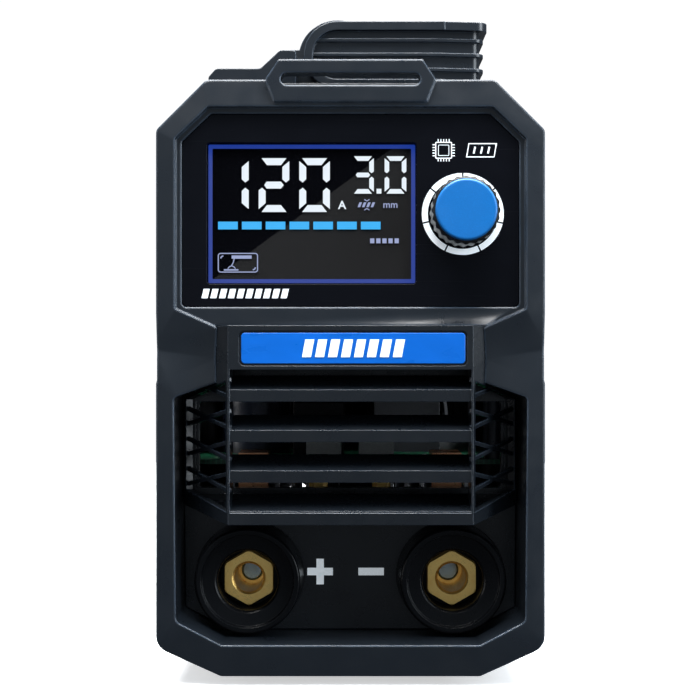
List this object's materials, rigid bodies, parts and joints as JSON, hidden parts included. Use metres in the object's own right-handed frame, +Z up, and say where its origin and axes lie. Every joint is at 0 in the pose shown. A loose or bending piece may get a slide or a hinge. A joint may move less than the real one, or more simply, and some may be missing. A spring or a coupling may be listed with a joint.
{
  "type": "stick welding inverter",
  "caption": "Compact welding power source with a display and knob panel, louvred bay, two brass output sockets, folding carry handle, rear fan, switch and cord gland.",
  "frame": {"origin": "centre of the whole object's footprint box, on the surface that the rubber feet stand on", "axes": "+X to the right seen from the front, +Y from the front panel to the rear panel, +Z up"},
  "size_m": [0.12, 0.2618, 0.21],
  "materials": {
    "slate_plastic": "satin, finely grained",
    "gloss_black": "gloss",
    "display_glass": "gloss",
    "white_print": "satin",
    "badge_blue": "satin",
    "knob_blue": "satin",
    "black_plastic": "satin",
    "contact_brass": "machined",
    "zinc_steel": "satin",
    "copper": "bright",
    "rubber": "matt",
    "cover_paint": "fine powder coat",
    "circuit_board": "satin",
    "ferrite": "matt",
    "alloy": "satin",
    "capacitor_sleeve": "gloss",
    "white_plastic": "satin"
  },
  "bodies": {
    "case": {"front_bezel": "slate_plastic", "control_fascia": "gloss_black", "display_lens": "display_glass", "lcd_module": "gloss_black", "dial_ring": "white_print", "badge_strip": "badge_blue", "front_grille": "slate_plastic", "socket_panel": "slate_plastic", "polarity_marks": "white_print", "positive_socket_ring": "black_plastic", "negative_socket_ring": "black_plastic", "positive_socket_contact": "contact_brass", "negative_socket_contact": "contact_brass", "socket_lock_nuts": "black_plastic", "terminal_bolts": "zinc_steel", "terminal_washers": "zinc_steel", "positive_busbar": "copper", "negative_busbar": "copper", "encoder_body": "zinc_steel", "encoder_nut": "zinc_steel", "control_board": "circuit_board", "control_board_screws": "zinc_steel", "main_cover": "cover_paint", "base_tray": "cover_paint", "rubber_feet": "rubber", "bezel_screws": "zinc_steel", "cover_screws": "zinc_steel", "handle_base": "slate_plastic", "handle_base_screws": "zinc_steel", "handle_pins": "zinc_steel", "handle_bumpers": "rubber", "rear_panel": "slate_plastic", "rear_screws": "zinc_steel", "fan_frame": "black_plastic", "fan_guard": "black_plastic", "fan_screws": "zinc_steel", "switch_housing": "black_plastic", "cord_gland": "black_plastic", "gland_seal": "rubber", "gland_cap": "black_plastic", "gland_lock_nut": "black_plastic", "main_board": "circuit_board", "board_standoffs": "contact_brass", "heat_sinks": "alloy", "power_transistors": "black_plastic", "bridge_rectifier": "ferrite", "bus_capacitors": "capacitor_sleeve", "transformer_core": "ferrite", "transformer_winding": "copper", "choke_core": "ferrite", "choke_winding": "copper", "output_relay": "black_plastic", "board_connectors": "white_plastic"},
    "handle": {"carry_handle": "slate_plastic"},
    "knob_stem": {"encoder_plunger": "alloy"},
    "knob": {"knob_skirt": "black_plastic", "knob_cap": "knob_blue", "encoder_shaft": "zinc_steel"},
    "rotor": {"fan_rotor": "black_plastic"},
    "rocker": {"switch_rocker": "black_plastic"}
  },
  "joints": [
    {"name": "handle_swing", "type": "hinge", "parent": "case", "child": "handle", "pos_m": [-0.0042, -0.0061, 0.1975], "axis": [0, -1, 0], "range_deg": [0, 90]},
    {"name": "knob_press", "type": "slide", "parent": "case", "child": "knob_stem", "axis": [0, 1, 0], "range_m": [0, 0.0005], "stiffness_N_per_m": 3000, "springref_m": -0.0005},
    {"name": "knob_turn", "type": "hinge", "parent": "knob_stem", "child": "knob", "pos_m": [0.0347, -0.1211, 0.1457], "axis": [0, 1, 0], "continuous": true},
    {"name": "fan_spin", "type": "hinge", "parent": "case", "child": "rotor", "pos_m": [0, 0.0989, 0.073], "axis": [0, 1, 0], "continuous": true},
    {"name": "switch_rock", "type": "hinge", "parent": "case", "child": "rocker", "pos_m": [-0.027, 0.1115, 0.149], "axis": [1, 0, 0], "range_deg": [0, 16]}
  ]
}
